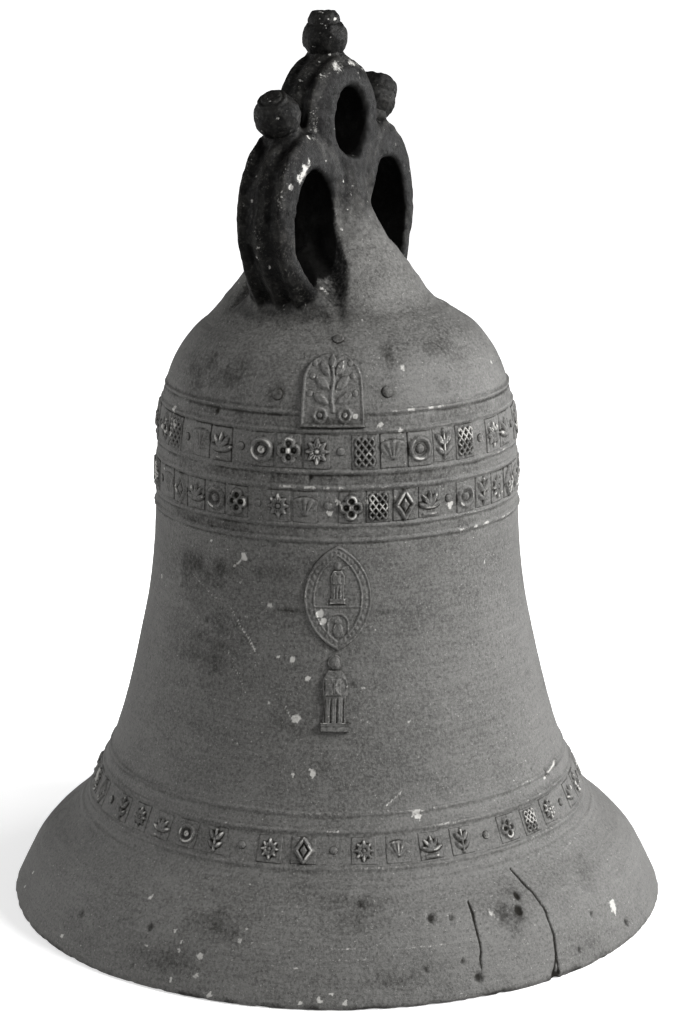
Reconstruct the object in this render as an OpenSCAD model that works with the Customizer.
// A small church bell with a trefoil crown, its cast-in staple and a strap-hung clapper.
// Origin: centre of the mouth, on the plane the lip rests on. +Z up.
// The crown's three loops lie side by side in the XZ plane, so a headstock runs along X
// and the clapper swings in the YZ plane.

/* [Bell] */
// Radius of the mouth at its widest
mouth_r = 200; // [199:0.5:201]
// Height of the flat under the crown
shoulder_z = 361.5; // [361:0.5:362]
// Height of the inside of the crown plate
vault_z = 349; // [347:0.5:350]
// How far the raised moulding lines stand proud
moulding_h = 1.6; // [1:0.1:2]
// How far the reliefs stand proud
relief_h = 1.6; // [1:0.1:2]
// Direction that the reliefs face, as an angle about Z
relief_az = 208; // [200:1:216]

/* [Crown] */
// Sideways set of the crown along X
crown_dx = -2.5; // [-3:0.5:0]
// Sideways set of the crown along Y
crown_dy = 4.5; // [0:0.5:5]
// Width of every loop, along Y
loop_w = 34; // [32:1:36]
// Radius of the round hole in the middle loop
arch_hole_r = 18.5; // [17.5:0.5:19.5]
// Distance from the middle loop's centre to its top
arch_r = 35; // [34:0.5:36]
// Half the width of the middle loop, which is wider than it is high
arch_half_w = 39; // [38:0.5:40]
// Height of the middle loop's centre
arch_z = 472; // [470:1:474]
// Distance of a side loop's centre from the crown's axis
canon_x = 46; // [45:0.5:47]
// Height of a side loop's centre
canon_z = 417; // [415:1:419]
// Radius of the balls on the loops
finial_r = 13.5; // [13:0.1:14]

/* [Staple and strap] */
// Height of the staple bar, which the strap turns on
staple_z = 318; // [316:1:320]
// Height of the bar in the clapper's eye
eye_z = 268; // [266:1:270]
// Radius of the staple's and the eye's bars
bar_r = 6; // [5.5:0.1:6.5]
// Distance from the middle to the legs of the staple and of the eye
leg_x = 28; // [27:0.5:30]
// Radial clearance of the strap on the bars
strap_gap = 0.05; // [0.02:0.01:0.1]
// Thickness of the strap's leather
strap_t = 5; // [4:0.5:6]
// Width of the strap
strap_w = 32; // [28:1:34]

/* [Clapper] */
// Radius of the clapper's ball
ball_r = 27; // [25:0.5:28]
// Height of the ball's centre
ball_z = 44; // [42:1:46]
// Radius of the shaft under the eye
shaft_top_r = 9; // [8:0.5:10]
// Radius of the shaft through the ball
shaft_r = 7.5; // [7:0.5:8]
// Height of the clapper's lower end
tip_z = 7; // [6:1:9]

/* [Hidden] */
$fn = 96;

bronze = "darkgray";
crown_bronze = "dimgray";
iron = "slategray";
leather = "saddlebrown";
oak = "peru";

// Steps of the curve between two of an outline's points
curve_steps = 3;
// Where the outline leaves the lip, and the points it runs through up to the shoulder: [radius, height]
lip_point = [mouth_r - 1.5, 0];
outside = [
    [mouth_r, 1.5], [196, 10], [191, 20], [185.5, 30], [177, 40], [165.5, 50], [155.5, 60],
    [149.5, 70], [143, 85], [136, 100], [127, 130], [120, 160], [114, 190], [110.5, 220],
    [109, 250], [108, 275], [106, 300], [102, 318], [97.5, 330], [92, 340], [84, 350],
    [76, 356], [67, shoulder_z]
];
// The same for the inside, from the lip up to the crown plate
inside = [
    [189, 0], [167, 17], [146, 36], [139, 48], [134, 62], [128.5, 80], [122, 100], [114, 130],
    [107, 160], [101, 190], [97.5, 220], [96.5, 250], [95.5, 275], [93.5, 300], [89, 320],
    [83, 332], [74, 341], [60, 346.5], [40, vault_z]
];
// Raised lines round the body: [height, half width]
mouldings = [
    [318, 1.8], [308, 1.6], [285, 1.6], [276, 1.6], [254.5, 1.6], [246, 1.8],
    [93, 1.8], [84, 1.8], [65, 1.6]
];

// Where the sound bow ends and the waist begins, and where the waist ends
bow_top_z = 70;
waist_top_z = 240;

// The crown's foot and middle post, as one flared outline
post = [
    [67, shoulder_z], [60, 370], [52.5, 380], [45, 390], [36, 402], [29, 414], [23, 428],
    [20, 440], [20, 456]
];

canon_outer = [37, 48];
canon_hole = [23, 35];
canon_hole_dz = -5;
arch_foot_z = 430;
arch_side_in = 6;
rib_w = 7;
rib_h = 2.5;

finial_x = 60;
finial_z = 479;
finial_tilt = 32;
neck_r = 9;
cap_r = 8.7;
cap_tip_r = 6;
top_finial_z = 519.5;

bend_r = 10;
staple_root_z = 376;

plate_t = 3;
plate_w = 28;
plate_low_z = 280;
plate_high_z = 308;
block_low_z = 281;
block_high_z = 306;
bolt_r = 3;
bolt_x = 8.5;
bolt_z = 294;
bolt_head_r = 5.5;
bolt_head_h = 3.5;
nut_r = 6;
nut_h = 4.5;

eye_foot_z = 236;
flight_r = 11;
ball_half_h = 25;
pin_r = 2.5;

pellets = [[0.5, 355.5], [-19.8, 327], [16.7, 328.5]];
pellet_r = 4.5;
pellet_sink = 2.7;

strap_in = bar_r + strap_gap;
strap_out = strap_in + strap_t;
plate_out = strap_out + plate_t;

// Points on a smooth curve through the given points
function knot(p, i) = p[min(max(i, 0), len(p) - 1)];
function between(a, b, c, d, t) =
    0.5 * (2 * b + (c - a) * t + (2 * a - 5 * b + 4 * c - d) * t * t
        + (3 * b - a - 3 * c + d) * t * t * t);
function smooth(p) = [
    for (i = [0:len(p) - 2], k = [0:curve_steps - 1])
        between(knot(p, i - 1), p[i], p[i + 1], knot(p, i + 2), k / curve_steps),
    p[len(p) - 1]
];
function reversed(p) = [for (i = [len(p) - 1:-1:0]) p[i]];
function swapped(p) = [for (q = p) [q[1], q[0]]];
function outside_r(z) = lookup(z, swapped(outside));

// Solid of revolution under the outside outline, from the lip to the shoulder
module bell_blank(grow = 0) {
    rotate_extrude()
        polygon(concat(
            [[0, shoulder_z], [0, 0], lip_point],
            [for (p = smooth(outside)) [p[0] + grow, p[1]]]));
}

module moulding_outlines() {
    for (m = mouldings)
        translate([outside_r(m[0]) + moulding_h - m[1], m[0]])
            circle(r = m[1], $fn = 24);
}

// The part of the casting's wall between two heights
module wall(low, high) {
    rotate_extrude()
        intersection() {
            union() {
                polygon(concat(
                    [lip_point], smooth(outside), [[0, shoulder_z], [0, vault_z]],
                    reversed(smooth(inside))));
                moulding_outlines();
            }
            translate([0, low])
                square([2 * mouth_r, high - low]);
        }
}

module sound_bow() {
    color(bronze)
    wall(0, bow_top_z);
}

module waist() {
    color(bronze)
    wall(bow_top_z, waist_top_z);
}

module shoulder() {
    color(bronze)
    difference() {
        wall(waist_top_z, shoulder_z);
        staple_legs();
    }
}

module in_crown() {
    translate([crown_dx, crown_dy, 0])
        children();
}

// A flat outline drawn in X and Z, thickened to w along Y
module across(w) {
    rotate([90, 0, 0])
        linear_extrude(height = w, center = true)
            children();
}

function ellipse(centre, half, n = 72) = [
    for (i = [0:n - 1]) [
        centre[0] + half[0] * cos(360 * i / n),
        centre[1] + half[1] * sin(360 * i / n)
    ]
];

module post_solid() {
    rotate_extrude()
        polygon(concat(smooth(post), [[0, 456], [0, shoulder_z]]));
}

module arch_hole() {
    rotate([90, 0, 0])
        translate([0, arch_z, 0])
            cylinder(r = arch_hole_r, h = 3 * loop_w, center = true);
}

module canon_hole_solid() {
    across(3 * loop_w)
        polygon(ellipse([canon_x, canon_z + canon_hole_dz], canon_hole));
}

module arch_outline(grow) {
    polygon(ellipse([0, arch_z], [arch_half_w + grow, arch_r + grow]));
    translate([arch_side_in - arch_half_w, arch_foot_z])
        square([2 * (arch_half_w - arch_side_in), arch_z - arch_foot_z]);
}

// Both edges of a loop stand a little proud of its back
module ribs() {
    for (s = [-1, 1])
        translate([0, s * (loop_w - rib_w) / 2, 0])
            across(rib_w)
                children();
}

module arch_solid() {
    across(loop_w)
        arch_outline(0);
    ribs()
        arch_outline(rib_h);
}

module canon_solid() {
    difference() {
        union() {
            across(loop_w)
                polygon(ellipse([canon_x, canon_z], canon_outer));
            ribs()
                polygon(ellipse([canon_x, canon_z], canon_outer + [rib_h, rib_h]));
        }
        canon_hole_solid();
        post_solid();
        arch_solid();
        translate([arch_half_w - arch_side_in - 200, -100, 0])
            cube([200, 200, 600]);
        translate([-crown_dx, -crown_dy, 0])
            bell_blank();
    }
}

module crown_base() {
    color(crown_bronze)
    difference() {
        in_crown()
            difference() {
                post_solid();
                arch_hole();
                for (s = [-1, 1])
                    translate([0, s * loop_w, arch_foot_z + loop_w])
                        cube([2 * loop_w, loop_w, 2 * loop_w], center = true);
            }
        staple_legs();
    }
}

module crown_arch() {
    color(crown_bronze)
    in_crown()
        difference() {
            arch_solid();
            arch_hole();
            post_solid();
            for (s = [0, 1])
                mirror([s, 0, 0])
                    canon_hole_solid();
        }
}

module canon_right() {
    color(crown_bronze)
    in_crown()
        canon_solid();
}

module canon_left() {
    color(crown_bronze)
    in_crown()
        mirror([1, 0, 0])
            canon_solid();
}

// A ball with a stepped cap, standing on a short neck of the given length
module finial(neck) {
    rotate_extrude()
        union() {
            intersection() {
                circle(r = finial_r);
                translate([0, -finial_r])
                    square([finial_r, 2 * finial_r]);
            }
            square([cap_r, finial_r - 2]);
            square([cap_tip_r, finial_r + 2]);
            translate([0, -finial_r - neck])
                square([neck_r, finial_r + neck]);
        }
}

module finial_top() {
    color(crown_bronze)
    in_crown()
        difference() {
            translate([0, 0, top_finial_z])
                finial(0);
            arch_solid();
        }
}

module side_finial() {
    difference() {
        translate([finial_x, 0, finial_z])
            rotate([0, finial_tilt, 0])
                finial(8);
        across(loop_w)
            polygon(ellipse([canon_x, canon_z], canon_outer));
        ribs()
            polygon(ellipse([canon_x, canon_z], canon_outer + [rib_h, rib_h]));
        arch_solid();
    }
}

module finial_right() {
    color(crown_bronze)
    in_crown()
        side_finial();
}

module finial_left() {
    color(crown_bronze)
    in_crown()
        mirror([1, 0, 0])
            side_finial();
}

// A quarter bend of round bar, from the end of the straight at z = 0 to a leg that goes up
module bend() {
    rotate([90, 0, 0])
        rotate([0, 0, -90])
            rotate_extrude(angle = 90)
                translate([bend_r, 0])
                    circle(r = bar_r, $fn = 48);
}

module staple_legs() {
    for (s = [-1, 1])
        translate([s * leg_x, 0, staple_z + bend_r])
            cylinder(r = bar_r, h = staple_root_z - staple_z - bend_r, $fn = 48);
}

// A straight bar along X, with a bend up at each end
module bar_with_bends() {
    rotate([0, 90, 0])
        cylinder(r = bar_r, h = 2 * (leg_x - bend_r), center = true, $fn = 48);
    for (s = [0, 1])
        mirror([s, 0, 0])
            translate([leg_x - bend_r, 0, bend_r])
                bend();
}

module crown_staple() {
    color(iron)
    union() {
        translate([0, 0, staple_z])
            bar_with_bends();
        staple_legs();
    }
}

// The space just above the outside surface, cut to a flat outline that faces angle az
module relief(az, low, high) {
    intersection() {
        difference() {
            rotate_extrude()
                polygon(concat(
                    [[post[0][0], high], [post[0][0], low]],
                    [for (z = [low:(high - low) / 6:high]) [outside_r(z) + relief_h, z]]));
            bell_blank();
            rotate_extrude()
                moulding_outlines();
        }
        rotate([0, 0, az])
            rotate([90, 0, 90])
                linear_extrude(height = mouth_r)
                    children();
    }
}

module relief_plaque() {
    color(bronze)
    relief(relief_az - 1.5, 309.8, 346)
        polygon(concat(
            [[-17.5, 300], [17.5, 300]],
            [for (a = [0:10:180]) [17.5 * cos(a), 328 + 17.5 * sin(a)]]));
}

module relief_seal() {
    color(bronze)
    relief(relief_az, 182, 244)
        intersection() {
            translate([-14, 213])
                circle(r = 34);
            translate([14, 213])
                circle(r = 34);
        }
}

module relief_figure() {
    color(bronze)
    relief(relief_az - 0.6, 138, 181)
        union() {
            translate([0, 174.5])
                circle(r = 4.5);
            polygon([[-8, 138], [8, 138], [7, 158], [8, 166], [4, 171], [-4, 171], [-8.5, 165], [-6.5, 156]]);
        }
}

module relief_pellets() {
    color(bronze)
    difference() {
        for (p = pellets)
            rotate([0, 0, relief_az + p[0]])
                translate([outside_r(p[1]) - pellet_sink, 0, p[1]])
                    sphere(r = pellet_r, $fn = 64);
        bell_blank($fn = 240);
    }
}

module bolt_holes() {
    for (s = [-1, 1])
        translate([s * bolt_x, 0, bolt_z])
            rotate([90, 0, 0])
                cylinder(r = bolt_r, h = 60, center = true, $fn = 32);
}

// Outline of a loop round both bars, at radius r, drawn in Y and Z
module loop_outline(r) {
    translate([-r, eye_z])
        square([2 * r, staple_z - eye_z]);
    for (z = [eye_z, staple_z])
        translate([0, z])
            circle(r = r, $fn = 64);
}

module baldric_strap() {
    color(leather)
    difference() {
        rotate([90, 0, 90])
            linear_extrude(height = strap_w, center = true)
                difference() {
                    loop_outline(strap_out);
                    loop_outline(strap_in);
                }
        bolt_holes();
    }
}

module busk_block() {
    color(oak)
    difference() {
        translate([-strap_w / 2, -strap_in, block_low_z])
            cube([strap_w, 2 * strap_in, block_high_z - block_low_z]);
        bolt_holes();
    }
}

module clamp_plate() {
    difference() {
        translate([-plate_w / 2, strap_out, plate_low_z])
            cube([plate_w, plate_t, plate_high_z - plate_low_z]);
        bolt_holes();
    }
}

module clamp_plate_front() {
    color(iron)
    mirror([0, 1, 0])
        clamp_plate();
}

module clamp_plate_back() {
    color(iron)
    clamp_plate();
}

module clamp_bolts() {
    color(iron)
    for (s = [-1, 1])
        translate([s * bolt_x, 0, bolt_z])
            rotate([-90, 0, 0]) {
                translate([0, 0, -plate_out - bolt_head_h])
                    cylinder(r = bolt_head_r, h = bolt_head_h, $fn = 32);
                translate([0, 0, -plate_out - 1])
                    cylinder(r = bolt_r, h = 2 * plate_out + nut_h + 3, $fn = 32);
            }
}

module clamp_nuts() {
    color(iron)
    difference() {
        for (s = [-1, 1])
            translate([s * bolt_x, plate_out, bolt_z])
                rotate([-90, 0, 0])
                    cylinder(r = nut_r, h = nut_h, $fn = 6);
        bolt_holes();
    }
}

module clapper_shaft() {
    color(iron)
    union() {
        translate([0, 0, eye_z])
            mirror([0, 0, 1])
                bar_with_bends();
        for (s = [-1, 1])
            translate([s * leg_x, 0, eye_foot_z + bend_r])
                cylinder(r = bar_r, h = eye_z - eye_foot_z - 2 * bend_r, $fn = 48);
        translate([0, 0, eye_foot_z])
            bar_with_bends();
        difference() {
            rotate_extrude()
                polygon([
                    [0, eye_foot_z + 5], [bar_r, eye_foot_z + 5], [shaft_top_r + 3, eye_foot_z - 4],
                    [shaft_top_r, eye_foot_z - 14], [shaft_r, 110], [shaft_r, tip_z + 10],
                    [flight_r, tip_z + 9], [flight_r - 1, tip_z + 2], [flight_r - 4, tip_z], [0, tip_z]
                ]);
            ball_pin_hole();
        }
    }
}

module ball_pin_hole() {
    translate([0, 0, ball_z + 12])
        rotate([0, 90, 0])
            cylinder(r = pin_r, h = 3 * ball_r, center = true, $fn = 32);
}

module clapper_ball() {
    color(iron)
    difference() {
        translate([0, 0, ball_z])
            rotate_extrude()
                intersection() {
                    circle(r = ball_r);
                    translate([shaft_r, -ball_half_h])
                        square([ball_r, 2 * ball_half_h]);
                }
        ball_pin_hole();
    }
}

module ball_pin() {
    color(iron)
    intersection() {
        ball_pin_hole();
        translate([0, 0, ball_z])
            sphere(r = ball_r + 0.5);
    }
}

sound_bow();
waist();
shoulder();
crown_base();
crown_arch();
canon_left();
canon_right();
finial_top();
finial_left();
finial_right();
crown_staple();
relief_plaque();
relief_seal();
relief_figure();
relief_pellets();
baldric_strap();
busk_block();
clamp_plate_front();
clamp_plate_back();
clamp_bolts();
clamp_nuts();
clapper_shaft();
clapper_ball();
ball_pin();
